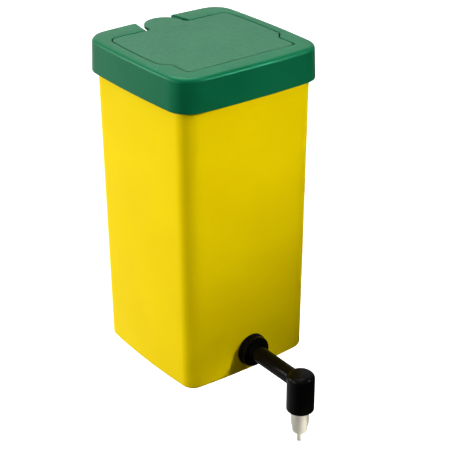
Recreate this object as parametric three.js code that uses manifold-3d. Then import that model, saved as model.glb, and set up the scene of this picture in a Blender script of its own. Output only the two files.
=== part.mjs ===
// Hutch drinker: a tall square water tank with a push-on lid, a hinged filling flap and an elbow
// spout that ends in a pin-operated nipple valve.
// Millimetres, +Z up. The origin is the middle of the tank's flat base, the spout points along -Y
// and the flap's finger tab along +Y.

import * as THREE from "three";
import { mergeVertices } from "three/addons/utils/BufferGeometryUtils.js";
import Module from "manifold-3d";

const wasm = await Module();
wasm.setup();

// ---------------------------------------------------------------- driving dimensions

const gap = 0.3; // left between pieces that touch
const overlap = 0.4; // how far a joined piece is sunk into its neighbour

const tankHeight = 174;
const tankBaseWidth = 85.8; // between the middles of opposite sides, at the base
const tankMouthWidth = 87.2; // the same at the mouth
const tankBaseCorner = 8.3; // corner radius at the base
const tankBaseBow = 2; // how far a side's middle stands out from its ends
const tankMouthBow = 0.8;
const tankWall = 2;
const tankFloor = 2.4;
const tankFootRadius = 3.2; // rounding from the base into the sides
const lipHeight = 4.5; // thick lip round the mouth
const lipDepth = 1.4;
const lipChamfer = 0.6;

const lidWall = 2.2;
const lidPlate = 2.2; // thickness of the lid's top
const lidRise = 11.7; // from the tank's lip to the top of the lid
const skirtHeight = 18.5;
const seatDepth = 2.1; // width of the step that rests on the tank's lip
const lidCornerRadius = 13.2;
const lidBow = 1.75;
const lidEdgeRadius = 2.4;
const lidTaper = 0.5; // each side leans in by this much from skirt to top

const rimSide = 6.6; // lid top left standing beside the flap
const rimFront = 11.3;
const rimBack = 15.4;
const recessGap = 0.7; // clearance all round the flap
const recessWall = 2;
const ledgeWidth = 3.4; // shelf behind the filling hole that the closed flap rests on
const ledgeThickness = 1.8;
const fillCornerRadius = 6; // the filling hole's back corners

const flapThickness = 2;
const flapSink = 0; // flap's face below the lid's face
const flapBow = 0.9;
const flapFrontCorner = 2.5;
const flapBackCorner = 5;
const hingeStep = 5.3; // the flap is this much narrower each side at the hinge
const stepFrom = 11.6; // from the flap's front edge to where the narrow part ends
const stepLength = 9.1;
const hingeInset = 3.4; // from the flap's front edge to the hinge line
const hingeSink = 2; // hinge line below the lid's face, so that its sockets stay roofed
const hingePinRadius = 1.15;
const hingePinLength = 2.3;
const hingePinPlay = 0.35;
const hingePocketRadius = 1.3; // relief at each front corner of the recess
const hingePocketInset = 0.7; // the pocket's middle inside the flap's corner, each way

const tabRadius = 11.3;
const tabSetback = 0.5; // tip of the finger tab inside the lid's back edge
const tabFlare = 3.1; // the tab is this much wider each side where it leaves the flap
const notchRootGap = 0.5; // clearance beside the tab where it leaves the flap
const notchMouthGap = 0.9; // clearance beside the tab's disc at the lid's back face
const notchFloorThickness = 1;

const spoutHeight = 14.6; // tube's axis above the base
const tailRadius = 4.2; // the part of the elbow inside the grommet
const barbStep = 1.1; // barb's edge above the tail
const barbLength = 4;
const grommetNeckWall = 1.8;
const grommetLip = 2.9; // outer flange beyond the tank's hole
const grommetFlange = 2.1;
const grommetInnerLip = 2;
const grommetInnerFlange = 2;
const collarStep = 0.6; // collar inside the grommet's edge
const collarThickness = 2.5;
const collarEdge = 0.5;
const tubeRadius = 4.73;
const waterwayRadius = 2.6;
const elbowReach = 43.84; // from the tank's face to the housing's axis
const housingWall = 2.47;
const housingRise = 6.2; // housing above the tube's axis
const housingDrop = 16.8; // housing below the tube's axis
const housingEdgeRadius = 3;
const housingCrown = 0.4;
const housingRoof = 3;
const chamberRadius = 4;

const nippleRadius = 5;
const nippleInsertion = 10; // length of the nipple inside the housing
const nippleReach = 15.1; // length of the nipple below the housing
const nippleStraight = 9.1; // of that, how much is cylindrical
const nippleTaperLength = 3.3;
const nippleShoulderRadius = 4.2;
const noseRound = 1.5;
const seatHeight = 8.3; // valve seat above the nose
const valveBoreRadius = 3.1;
const oRingDepth = 4.5; // O-ring's middle below the nipple's top
const oRingSection = 0.55;
const oRingGrooveDepth = 1.25;
const oRingSquash = 0.1; // how far the ring stands out of its groove

const valveGap = 0.35; // free height between the loose pieces of the valve
const pinRadius = 1.38;
const pinReach = 6.4; // pin below the nose
const pinTip = 0.8;
const pinNosePlay = 0.97; // round the pin in the nose, so that it can tilt
const pinSealPlay = 0.37;
const pinHeadPlay = 0.6; // round the pin's head in the valve bore
const pinHeadThickness = 1.2;
const sealPlay = 0.4;
const sealThickness = 1;
const buttonPlay = 0.5;
const buttonThickness = 1;
const buttonBossRadius = 1.2;
const buttonBossHeight = 1.5;
const springWire = 0.3; // wire radius
const springPlay = 0.8; // round the spring in the valve bore
const springTurns = 5;
const capThickness = 2;
const capHoleRadius = 1.2;

// ---------------------------------------------------------------- places worked out from them

const lipHalf = tankMouthWidth / 2 + lipDepth;
const skirtHalf = lipHalf + gap + lidWall;
const lidTopHalf = skirtHalf - lidTaper;
const lidTop = tankHeight + lidRise;
const skirtFoot = lidTop - skirtHeight;
const seatZ = tankHeight + gap;

const flapHalf = lidTopHalf - rimSide - recessGap;
const flapFront = -(lidTopHalf - rimFront - recessGap);
const flapBack = lidTopHalf - rimBack - recessGap;
const hingeHalf = flapHalf - hingeStep;
const hingeY = flapFront + hingeInset;
const flapFace = lidTop - flapSink;
const flapUnder = flapFace - flapThickness;
const hingeZ = lidTop - hingeSink;
const ledgeTop = flapUnder - gap;
const ledgeUnder = ledgeTop - ledgeThickness;

const tabRootHalf = tabRadius + tabFlare;
const notchMouthHalf = tabRadius + notchMouthGap;

const tankMouthCorner = lidCornerRadius - lidWall - gap - lipDepth;
const faceY = -(tankBaseWidth + ((tankMouthWidth - tankBaseWidth) * spoutHeight) / tankHeight) / 2;
const elbowY = faceY - elbowReach;
const spoutHoleRadius = tailRadius + grommetNeckWall + 2 * gap;
const grommetRadius = spoutHoleRadius + grommetLip;
const grommetInnerRadius = spoutHoleRadius + grommetInnerLip;
const barbRadius = tailRadius + barbStep;
const wallLean = (tankMouthWidth - tankBaseWidth) / (2 * tankHeight);
const flangeGap = gap + wallLean * grommetRadius; // an upright flange clears the leaning wall
const collarRadius = grommetRadius - collarStep;
const housingRadius = nippleRadius + gap + housingWall;
const housingFoot = spoutHeight - housingDrop;
const nippleTop = housingFoot + nippleInsertion;
const noseZ = housingFoot - nippleReach;
const valveSeat = noseZ + seatHeight;
const sealFoot = valveSeat + valveGap;
const headFoot = sealFoot + sealThickness + valveGap;
const headTop = headFoot + pinHeadThickness;
const buttonFoot = headTop + valveGap;
const springFoot = buttonFoot + buttonThickness + valveGap;
const noseBoreRadius = pinRadius + pinNosePlay;
const sealRadius = valveBoreRadius - sealPlay;
const sealBore = pinRadius + pinSealPlay;
const pinHeadRadius = valveBoreRadius - pinHeadPlay;
const buttonRadius = valveBoreRadius - buttonPlay;
const springRadius = valveBoreRadius - springPlay - springWire;
const capRadius = valveBoreRadius - gap;
const capFoot = nippleTop - capThickness;
const springTop = capFoot - valveGap;

// ---------------------------------------------------------------- shape helpers

// A closed geometry as a solid that can be cut and joined. A solid comes back as it is.
function solidOf(shape) {
  if (!shape.isBufferGeometry) return shape;
  const bare = shape.clone();
  bare.deleteAttribute("normal");
  bare.deleteAttribute("uv");
  const merged = mergeVertices(bare, 1e-4);
  return new wasm.Manifold(
    new wasm.Mesh({
      numProp: 3,
      vertProperties: merged.attributes.position.array,
      triVerts: new Uint32Array(merged.index.array),
    }),
  );
}

function geometryOf(solid) {
  const mesh = solid.getMesh();
  const geometry = new THREE.BufferGeometry();
  geometry.setAttribute("position", new THREE.BufferAttribute(mesh.vertProperties, 3));
  geometry.setIndex(new THREE.BufferAttribute(mesh.triVerts, 1));
  geometry.computeVertexNormals();
  return geometry;
}

function join(first, ...others) {
  return others.reduce((sum, other) => sum.add(solidOf(other)), solidOf(first));
}

function cut(solid, ...tools) {
  return tools.reduce((rest, tool) => rest.subtract(solidOf(tool)), solid);
}

// A square with round corners and bowed sides, as a ring of points anticlockwise seen from above.
// Each side is an arc through its middle, and each corner an arc tangent to its two sides.
function squareRing(half, corner, bow, z, perSide = 6, perCorner = 5) {
  const sideRadius = (half * half + bow * bow) / (2 * bow);
  const sideCentre = half - sideRadius;
  const reach = (sideRadius - corner) ** 2;
  const cornerCentre = (sideCentre + Math.sqrt(2 * reach - sideCentre ** 2)) / 2;
  const turn = Math.atan2(cornerCentre, cornerCentre - sideCentre);
  const ring = [];
  for (let side = 0; side < 4; side++) {
    const quarter = (side * Math.PI) / 2;
    const place = (x, y) => {
      const c = Math.cos(quarter);
      const s = Math.sin(quarter);
      ring.push(new THREE.Vector3(x * c - y * s, x * s + y * c, z));
    };
    for (let i = 0; i <= perSide; i++) {
      const angle = turn * ((2 * i) / perSide - 1);
      place(sideCentre + sideRadius * Math.cos(angle), sideRadius * Math.sin(angle));
    }
    for (let i = 1; i < perCorner; i++) {
      const angle = turn + (Math.PI / 2 - 2 * turn) * (i / perCorner);
      place(cornerCentre + corner * Math.cos(angle), cornerCentre + corner * Math.sin(angle));
    }
  }
  return ring;
}

// A closed body through rings of equal length, in order from its first cap to its last.
function loft(rings) {
  const around = rings[0].length;
  const points = rings.flat();
  const index = [];
  for (let r = 0; r + 1 < rings.length; r++) {
    for (let i = 0; i < around; i++) {
      const a = r * around + i;
      const b = r * around + ((i + 1) % around);
      index.push(a, b, b + around, a, b + around, a + around);
    }
  }
  [rings[0], rings[rings.length - 1]].forEach((ring, end) => {
    const middle = points.length;
    const start = end * (rings.length - 1) * around;
    points.push(new THREE.Vector3(0, 0, ring[0].z));
    for (let i = 0; i < around; i++) {
      const a = start + i;
      const b = start + ((i + 1) % around);
      index.push(middle, end ? a : b, end ? b : a);
    }
  });
  const geometry = new THREE.BufferGeometry().setFromPoints(points);
  geometry.setIndex(index);
  geometry.computeVertexNormals();
  return geometry;
}

// An outline without the points that lie on a straight run, which a cap's triangles would skip.
function cornersOf(outline) {
  return outline.filter((point, i) => {
    const before = outline[(i + outline.length - 1) % outline.length];
    const after = outline[(i + 1) % outline.length];
    return Math.abs(point.clone().sub(before).cross(after.clone().sub(point))) > 1e-4;
  });
}

// A shape in plan, as a plate from one height to another.
function plate(outline, from, to) {
  const shape = new THREE.Shape(cornersOf(outline));
  const geometry = new THREE.ExtrudeGeometry(shape, { depth: to - from, bevelEnabled: false });
  return geometry.translate(0, 0, from);
}

// A turned body about +Z. The profile is [radius, z] pairs, up the outside.
function turned(profile, segments = 32) {
  const points = profile.map(([radius, z]) => new THREE.Vector2(radius, z));
  return new THREE.LatheGeometry(points, segments).rotateX(Math.PI / 2);
}

// A turned body about the tube's axis. The profile is [radius, distance out from the tank's face].
function turnedOnSpout(profile, segments = 32) {
  const geometry = turned(profile, segments).rotateX(Math.PI / 2);
  return geometry.translate(0, faceY, spoutHeight);
}

// Points of a quarter circle in a profile, from one angle to another.
function arc(radius, z, size, from, to, steps = 5) {
  return Array.from({ length: steps + 1 }, (_, i) => {
    const angle = from + ((to - from) * i) / steps;
    return [radius + size * Math.cos(angle), z + size * Math.sin(angle)];
  });
}

// A closed outline moved outwards by a distance, or inwards where it is negative.
function grown(outline, distance) {
  return outline.map((point, i) => {
    const before = outline[(i + outline.length - 1) % outline.length];
    const after = outline[(i + 1) % outline.length];
    const first = point.clone().sub(before).normalize();
    const second = after.clone().sub(point).normalize();
    const mean = first.clone().add(second).normalize();
    const stretch = distance / Math.max(mean.dot(first), 0.5);
    return new THREE.Vector2(point.x + mean.y * stretch, point.y - mean.x * stretch);
  });
}

// A half outline from the front middle to the back middle, with its mirror image.
function mirrored(path) {
  const half = path.getPoints(6).filter((p, i, all) => i === 0 || p.distanceTo(all[i - 1]) > 1e-3);
  const other = half.slice(1, -1).reverse();
  return [...half, ...other.map((p) => new THREE.Vector2(-p.x, p.y))];
}

// ---------------------------------------------------------------- tank

function tankRing(z, inset = 0) {
  const share = z / tankHeight;
  const width = tankBaseWidth + (tankMouthWidth - tankBaseWidth) * share;
  const bow = tankBaseBow + (tankMouthBow - tankBaseBow) * share;
  const corner = tankBaseCorner + (tankMouthCorner - tankBaseCorner) * share;
  return squareRing(width / 2 - inset, corner - inset, bow, z);
}

// The lip follows the inside of the lid's skirt.
function lipRing(z, inset) {
  const radius = lidCornerRadius - lidWall - gap - inset;
  return squareRing(lipHalf - inset, radius, lidBow, z);
}

function tank() {
  const quarter = [0, 1, 2, 3].map((i) => (i * Math.PI) / 6);
  const rings = [];
  for (const angle of quarter) {
    const inset = tankFootRadius * (1 - Math.sin(angle));
    rings.push(tankRing(tankFootRadius * (1 - Math.cos(angle)), inset));
  }
  const lipFoot = tankHeight - lipHeight;
  rings.push(tankRing(tankHeight / 3), tankRing((tankHeight * 2) / 3), tankRing(lipFoot));
  rings.push(lipRing(lipFoot + lipDepth, 0));
  rings.push(lipRing(tankHeight - lipChamfer, 0), lipRing(tankHeight, lipChamfer));
  rings.push(tankRing(tankHeight, tankWall));
  rings.push(tankRing((tankHeight * 2) / 3, tankWall), tankRing(tankHeight / 3, tankWall));
  for (const angle of [...quarter].reverse()) {
    const inset = tankWall + tankFootRadius * (1 - Math.sin(angle));
    rings.push(tankRing(tankFloor + tankFootRadius * (1 - Math.cos(angle)), inset));
  }
  const hole = turnedOnSpout([
    [0, -tankWall * 2],
    [spoutHoleRadius, -tankWall * 2],
    [spoutHoleRadius, tankWall],
    [0, tankWall],
  ]);
  return cut(solidOf(loft(rings)), hole);
}

// ---------------------------------------------------------------- flap

// The flap in plan: a narrow hinge end, a step out to the wide part, bowed sides and a straight
// back edge. With the finger tab it runs on into a disc that reaches the lid's back edge.
function flapOutline(withTab) {
  const stepStart = flapFront + stepFrom;
  const stepEnd = stepStart + stepLength;
  const ease = stepLength / 2;
  const backHalf = flapHalf - flapBow;
  const sideStart = flapHalf - flapBow / 3;
  const bowHandle = 2 * flapHalf - (sideStart + backHalf) / 2;
  const path = new THREE.Path();
  path.moveTo(0, flapFront);
  path.lineTo(hingeHalf - flapFrontCorner, flapFront);
  const frontCorner = [hingeHalf - flapFrontCorner, flapFront + flapFrontCorner, flapFrontCorner];
  path.absarc(...frontCorner, -Math.PI / 2, 0);
  path.lineTo(hingeHalf, stepStart);
  path.bezierCurveTo(hingeHalf, stepStart + ease, sideStart, stepEnd - ease, sideStart, stepEnd);
  const cornerY = flapBack - flapBackCorner;
  path.quadraticCurveTo(bowHandle, (stepEnd + cornerY) / 2, backHalf, cornerY);
  path.absarc(backHalf - flapBackCorner, cornerY, flapBackCorner, 0, Math.PI / 2);
  if (!withTab) {
    path.lineTo(0, flapBack);
    return mirrored(path);
  }
  const tabY = lidTopHalf - tabSetback - tabRadius;
  path.lineTo(tabRootHalf, flapBack);
  path.quadraticCurveTo(tabRadius, flapBack, tabRadius, tabY);
  path.absarc(0, tabY, tabRadius, 0, Math.PI / 2);
  return mirrored(path);
}

function hingePin(side, radius, from, to) {
  const profile = [
    [0, from],
    [radius, from],
    [radius, to],
    [0, to],
  ];
  const pin = turned(profile, 16).rotateY((side * Math.PI) / 2);
  return pin.translate(0, hingeY, hingeZ);
}

function flap() {
  const pins = [1, -1].map((side) =>
    hingePin(side, hingePinRadius, hingeHalf - overlap, hingeHalf + hingePinLength),
  );
  return join(plate(flapOutline(true), flapUnder, flapFace), ...pins);
}

// ---------------------------------------------------------------- lid

// The filling hole in plan: as wide as the hinge end, so shelves are left beside the wide part of
// the flap and behind it, and nothing under the hinge, where the flap's front edge turns down.
function fillOutline() {
  const half = hingeHalf + recessGap;
  const toY = flapBack + recessGap - ledgeWidth;
  const path = new THREE.Path();
  path.moveTo(0, flapFront - recessGap);
  path.lineTo(half, flapFront - recessGap);
  path.absarc(half - fillCornerRadius, toY - fillCornerRadius, fillCornerRadius, 0, Math.PI / 2);
  path.lineTo(0, toY);
  return mirrored(path);
}

// The finger notch in plan, from inside the recess out past the lid's back face.
function notchOutline(fromY, extra = 0) {
  const rootHalf = tabRootHalf + notchRootGap;
  const lean = (rootHalf - notchMouthHalf) / (lidTopHalf - flapBack);
  const half = (y) => rootHalf - lean * (y - flapBack) + extra;
  const toY = skirtHalf + lidBow + extra;
  return [
    new THREE.Vector2(-half(fromY), fromY),
    new THREE.Vector2(half(fromY), fromY),
    new THREE.Vector2(half(toY), toY),
    new THREE.Vector2(-half(toY), toY),
  ];
}

function lidShell() {
  const rings = [squareRing(skirtHalf, lidCornerRadius, lidBow, skirtFoot)];
  for (let i = 0; i <= 5; i++) {
    const angle = (i * Math.PI) / 10;
    const inset = lidEdgeRadius * (1 - Math.cos(angle));
    const z = lidTop - lidEdgeRadius * (1 - Math.sin(angle));
    rings.push(squareRing(lidTopHalf - inset, lidCornerRadius - inset, lidBow, z));
  }
  return loft(rings);
}

function lidCavity(inset, from, to) {
  const radius = lidCornerRadius - inset;
  return loft([
    squareRing(skirtHalf - inset, radius, lidBow, from),
    squareRing(skirtHalf - inset, radius, lidBow, to),
  ]);
}

function lid() {
  const recess = grown(flapOutline(false), recessGap);
  const wellFoot = ledgeUnder;
  const plateUnder = lidTop - lidPlate;
  const above = lidTop + 1;
  const recessBack = flapBack + recessGap;
  const well = plate(grown(recess, recessWall), wellFoot, plateUnder + overlap);
  const notchWalls = notchOutline(recessBack, recessWall);
  const notchBox = plate(notchWalls, seatZ - overlap, plateUnder + overlap);
  const upperCavity = cut(
    solidOf(lidCavity(lidWall + seatDepth, seatZ, plateUnder)),
    well,
    notchBox,
  );
  const notchTop = plate(notchOutline(flapBack - ledgeWidth / 2), ledgeTop, above);
  const notchDeep = plate(
    notchOutline(recessBack + recessWall),
    seatZ + notchFloorThickness,
    above,
  );
  const fillHole = plate(fillOutline(), skirtFoot, ledgeTop + overlap);
  const sockets = [1, -1].map((side) =>
    hingePin(
      side,
      hingePinRadius + hingePinPlay,
      hingeHalf,
      hingeHalf + hingePinLength + hingePinPlay,
    ),
  );
  const pockets = [1, -1].map((side) => {
    const profile = [
      [0, wellFoot],
      [hingePocketRadius, wellFoot],
      [hingePocketRadius, above],
      [0, above],
    ];
    const pocketX = side * (hingeHalf - hingePocketInset);
    return turned(profile, 12).translate(pocketX, flapFront + hingePocketInset, 0);
  });
  const hollow = cut(
    solidOf(lidShell()),
    lidCavity(lidWall, skirtFoot - 1, seatZ),
    upperCavity,
  );
  const recessCut = plate(recess, ledgeTop, above);
  return cut(hollow, recessCut, fillHole, notchTop, notchDeep, ...sockets, ...pockets);
}

// ---------------------------------------------------------------- spout

// Rubber bush pressed into the tank's hole: a flange each side of the wall and a neck through it.
function grommet() {
  const bore = tailRadius + gap;
  const neck = spoutHoleRadius - gap;
  const innerFace = -tankWall - flangeGap;
  const outerFace = flangeGap + grommetFlange;
  const innerEnd = innerFace - grommetInnerFlange;
  const edge = grommetFlange / 3;
  return solidOf(
    turnedOnSpout([
      [bore, innerEnd],
      [grommetInnerRadius - edge, innerEnd],
      [grommetInnerRadius, innerEnd + edge],
      [grommetInnerRadius, innerFace],
      [neck, innerFace],
      [neck, flangeGap],
      [grommetRadius, flangeGap],
      [grommetRadius, outerFace - edge],
      [grommetRadius - edge, outerFace],
      [bore, outerFace],
      [bore, innerEnd],
    ]),
  );
}

// Elbow: barbed tail, collar, tube and the upright housing, with the waterway through them all.
function elbow() {
  const collarBack = flangeGap + grommetFlange + gap;
  const collarFront = collarBack + collarThickness;
  const barbBack = -tankWall - flangeGap - grommetInnerFlange - gap;
  const tailEnd = barbBack - barbLength;
  const tube = turnedOnSpout([
    [0, tailEnd],
    [tailRadius - collarEdge, tailEnd],
    [barbRadius, barbBack - 1],
    [barbRadius, barbBack],
    [tailRadius, barbBack],
    [tailRadius, collarBack],
    [collarRadius, collarBack],
    [collarRadius, collarFront - collarEdge],
    [collarRadius - collarEdge, collarFront],
    [tubeRadius + collarEdge, collarFront],
    [tubeRadius, collarFront + collarEdge],
    [tubeRadius, elbowReach],
    [0, elbowReach],
  ]);
  const top = spoutHeight + housingRise;
  const shoulder = top - housingCrown - housingEdgeRadius;
  const rim = housingRadius - housingEdgeRadius;
  const housing = turned([
    [0, housingFoot],
    [housingRadius - collarEdge, housingFoot],
    [housingRadius, housingFoot + collarEdge],
    ...arc(rim, shoulder, housingEdgeRadius, 0, Math.PI / 2),
    [0, top],
  ]).translate(0, elbowY, 0);
  const socketTop = nippleTop + gap;
  const socket = turned([
    [0, housingFoot - 1],
    [nippleRadius + gap, housingFoot - 1],
    [nippleRadius + gap, socketTop],
    [chamberRadius, socketTop],
    [chamberRadius, top - housingRoof],
    [0, top - housingRoof],
  ]).translate(0, elbowY, 0);
  const waterway = turnedOnSpout(
    [
      [0, tailEnd - 1],
      [waterwayRadius, tailEnd - 1],
      [waterwayRadius, elbowReach],
      [0, elbowReach],
    ],
    16,
  );
  return cut(join(tube, housing), socket, waterway);
}

// ---------------------------------------------------------------- nipple valve

function nippleBody() {
  const straightFoot = housingFoot - nippleStraight;
  const taperFoot = straightFoot - nippleTaperLength;
  const noseRadius = nippleShoulderRadius - noseRound;
  const grooveZ = nippleTop - oRingDepth;
  const grooveHalf = oRingSection + gap;
  const grooveRadius = nippleRadius - oRingGrooveDepth;
  const profile = [
    [noseBoreRadius, noseZ],
    [noseRadius, noseZ],
    ...arc(noseRadius, noseZ + noseRound, noseRound, -Math.PI / 2, 0, 4),
    [nippleShoulderRadius, taperFoot],
    [nippleRadius, straightFoot],
    [nippleRadius, grooveZ - grooveHalf],
    [grooveRadius, grooveZ - grooveHalf],
    [grooveRadius, grooveZ + grooveHalf],
    [nippleRadius, grooveZ + grooveHalf],
    [nippleRadius, nippleTop],
    [valveBoreRadius, nippleTop],
    [valveBoreRadius, valveSeat],
    [noseBoreRadius, valveSeat],
    [noseBoreRadius, noseZ],
  ];
  return solidOf(turned(profile).translate(0, elbowY, 0));
}

function ring(innerRadius, outerRadius, from, to, segments = 24) {
  const profile = [
    [innerRadius, from],
    [outerRadius, from],
    [outerRadius, to],
    [innerRadius, to],
    [innerRadius, from],
  ];
  return turned(profile, segments).translate(0, elbowY, 0);
}

function nippleORing() {
  const middle = nippleRadius + oRingSquash - oRingSection;
  const section = arc(middle, nippleTop - oRingDepth, oRingSection, 0, 2 * Math.PI, 8);
  return solidOf(turned(section, 24).translate(0, elbowY, 0));
}

function sealRing() {
  return solidOf(ring(sealBore, sealRadius, sealFoot, sealFoot + sealThickness));
}

function triggerPin() {
  const tip = noseZ - pinReach;
  const profile = [
    [0, tip],
    ...arc(pinRadius - pinTip, tip + pinTip, pinTip, -Math.PI / 2, 0, 3),
    [pinRadius, headFoot],
    [pinHeadRadius, headFoot],
    [pinHeadRadius, headTop],
    [0, headTop],
  ];
  return solidOf(turned(profile, 24).translate(0, elbowY, 0));
}

// Follower between the spring and the pin's head.
function springButton() {
  const top = buttonFoot + buttonThickness;
  const profile = [
    [0, buttonFoot],
    [buttonRadius, buttonFoot],
    [buttonRadius, top],
    [buttonBossRadius, top],
    [buttonBossRadius, top + buttonBossHeight],
    [0, top + buttonBossHeight],
  ];
  return solidOf(turned(profile, 24).translate(0, elbowY, 0));
}

class Coil extends THREE.Curve {
  getPoint(t, target = new THREE.Vector3()) {
    const angle = t * springTurns * 2 * Math.PI;
    const from = springFoot + springWire;
    const z = from + t * (springTop - springWire - from);
    const x = springRadius * Math.cos(angle);
    return target.set(x, elbowY + springRadius * Math.sin(angle), z);
  }
}

function valveSpring() {
  const section = new THREE.Shape();
  section.absarc(0, 0, springWire, 0, 2 * Math.PI);
  const options = { steps: springTurns * 14, extrudePath: new Coil(), curveSegments: 3 };
  return solidOf(new THREE.ExtrudeGeometry(section, options));
}

function springCap() {
  return solidOf(ring(capHoleRadius, capRadius, capFoot, nippleTop));
}

// ---------------------------------------------------------------- assembly

function material(color, roughness, metalness = 0) {
  return new THREE.MeshStandardMaterial({ color, roughness, metalness });
}

const yellowPlastic = material(0xf2d208, 0.35);
const greenPlastic = material(0x2f8f5f, 0.3);
const paleGreenPlastic = material(0x4f936d, 0.55);
const blackRubber = material(0x161616, 0.8);
const blackPlastic = material(0x141414, 0.35);
const stainlessSteel = material(0xb9b6ac, 0.25, 1);
const redRubber = material(0x8a3a2c, 0.8);
const whitePlastic = material(0xe6e4dc, 0.5);

const drinker = new THREE.Group();
drinker.name = "hutch_drinker";

const pieces = [
  ["tank", tank, yellowPlastic],
  ["lid", lid, greenPlastic],
  ["filler_flap", flap, paleGreenPlastic],
  ["spout_grommet", grommet, blackRubber],
  ["elbow_spout", elbow, blackPlastic],
  ["nipple_body", nippleBody, stainlessSteel],
  ["nipple_o_ring", nippleORing, blackRubber],
  ["valve_seal", sealRing, redRubber],
  ["trigger_pin", triggerPin, stainlessSteel],
  ["spring_button", springButton, whitePlastic],
  ["valve_spring", valveSpring, stainlessSteel],
  ["spring_cap", springCap, whitePlastic],
];
for (const [name, make, finish] of pieces) {
  const mesh = new THREE.Mesh(geometryOf(make()), finish);
  mesh.name = name;
  drinker.add(mesh);
}

export default drinker;
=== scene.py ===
# %% [markdown]
# # A hutch drinker
# A hutch drinker is a small water tank that hangs outside a rabbit's or a hen's cage. A lid with a
# hinged filling flap is pushed onto the tank, and a black elbow carries the water out to a steel
# nipple, where the animal nudges a pin to let it run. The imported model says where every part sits
# and how it moves, so we load it first and write down its box before anything else is made.

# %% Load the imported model
import math

import bmesh
import bpy
import numpy as np
from mathutils import Matrix, Vector


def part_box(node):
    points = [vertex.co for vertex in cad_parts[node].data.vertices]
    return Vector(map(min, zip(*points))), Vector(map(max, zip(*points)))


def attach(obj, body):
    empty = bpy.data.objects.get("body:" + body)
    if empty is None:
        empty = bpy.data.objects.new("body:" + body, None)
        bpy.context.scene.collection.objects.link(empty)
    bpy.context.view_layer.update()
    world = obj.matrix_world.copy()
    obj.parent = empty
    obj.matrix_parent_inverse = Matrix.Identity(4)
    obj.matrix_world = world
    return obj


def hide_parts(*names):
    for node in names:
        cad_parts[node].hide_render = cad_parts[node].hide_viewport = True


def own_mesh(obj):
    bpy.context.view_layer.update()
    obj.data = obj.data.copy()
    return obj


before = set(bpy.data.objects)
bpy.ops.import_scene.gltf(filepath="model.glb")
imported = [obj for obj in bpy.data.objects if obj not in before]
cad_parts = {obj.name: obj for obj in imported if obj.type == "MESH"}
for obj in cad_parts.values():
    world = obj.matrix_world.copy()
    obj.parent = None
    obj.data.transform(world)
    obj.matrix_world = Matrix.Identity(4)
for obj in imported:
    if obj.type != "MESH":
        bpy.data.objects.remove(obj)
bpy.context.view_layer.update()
scene = bpy.context.scene
MM = 0.001

# %% [markdown]
# ## Where the parts meet
# A maker works from a few data lines: the tank's face, the spout's axis, the axis of the upright
# housing, and the heights of the lid. They could be typed in again, but then they could disagree
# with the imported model. So each one is read from the box of the part that fixes it, in millimetres.
# Only what no box shows is typed: the tank's half width at its base and mouth, and how far the
# housing rises above the spout's axis.

# %% Data lines of the drinker
def extent(node):
    """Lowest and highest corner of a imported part, in millimetres."""
    low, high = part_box(node)
    return np.array(low) / MM, np.array(high) / MM


BASE_HALF, MOUTH_HALF, HOUSING_RISE = 42.9, 43.6, 6.2
tank_top = extent("tank")[1][2]
lid_foot, lid_top = (corner[2] for corner in extent("lid"))
lid_half = extent("lid")[1][0]
flap_face = extent("filler_flap")[1][2]
spout_z = (extent("spout_grommet")[0][2] + extent("spout_grommet")[1][2]) / 2
housing_y = (extent("nipple_body")[0][1] + extent("nipple_body")[1][1]) / 2
housing_foot, housing_top = extent("elbow_spout")[0][2], spout_z + HOUSING_RISE
nose_z, nipple_top = (corner[2] for corner in extent("nipple_body"))
pin_tip = extent("trigger_pin")[0][2]
face_y = -(BASE_HALF + (MOUTH_HALF - BASE_HALF) * spout_z / tank_top)
print(f"tank face at y {face_y:.2f}, spout at z {spout_z:.2f}, housing at y {housing_y:.2f}")

# %% [markdown]
# ## From a grid of points to a closed body
# Nearly every part here is one skin that goes round: rows of points run up the shape and columns
# run round it. We could push vertices about by hand, but a grid worked out as whole arrays is exact,
# and its faces are always joined the same way. At both ends the last row is drawn together onto its
# middle, so the body is closed. A body with a hole right through it, such as a washer, has rows that
# run back to the first one instead.

# %% Grid of points to a mesh
def grid_faces(rows, columns, closed_rows):
    """Each face joins a point, the next one in its row, and the two above them, going round."""
    tall = rows if closed_rows else rows - 1
    row, column = np.meshgrid(np.arange(tall), np.arange(columns), indexing="ij")
    beside, above = (column + 1) % columns, (row + 1) % rows
    first, second = row * columns, above * columns
    corners = [first + column, first + beside, second + beside, second + column]
    return np.stack(corners, -1).reshape(-1, 4)


def cleaned(mesh, reach=1e-7):
    """Points closer than reach become one, and every face is turned outwards."""
    body = bmesh.new()
    body.from_mesh(mesh)
    bmesh.ops.remove_doubles(body, verts=body.verts, dist=reach)
    bmesh.ops.recalc_face_normals(body, faces=body.faces)
    body.to_mesh(mesh)
    body.free()


def body_from(name, points, closed_rows=False):
    """A closed body from points in millimetres, as rows by columns by x, y and z."""
    if not closed_rows:
        ends = [np.broadcast_to(r.mean(0), r.shape)[None] for r in (points[0], points[-1])]
        points = np.concatenate([ends[0], points, ends[1]])
    rows, columns = points.shape[:2]
    mesh = bpy.data.meshes.new(name)
    faces = grid_faces(rows, columns, closed_rows)
    mesh.from_pydata((points.reshape(-1, 3) * MM).tolist(), [], faces.tolist())
    cleaned(mesh)
    piece = bpy.data.objects.new(name, mesh)
    scene.collection.objects.link(piece)
    return piece


# %% [markdown]
# ## Cutting and joining
# A moulded lid has pockets and notches that meet its skin in awkward curves. Working out each meeting
# line by hand is slow and easily leaves a crack. Blender's Boolean modifier finds it for us, from a
# body and a cutter that are both closed, and we keep its result as the piece's own mesh. Afterwards
# the piece is shaded smooth, except where two faces meet at a real edge.

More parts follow.
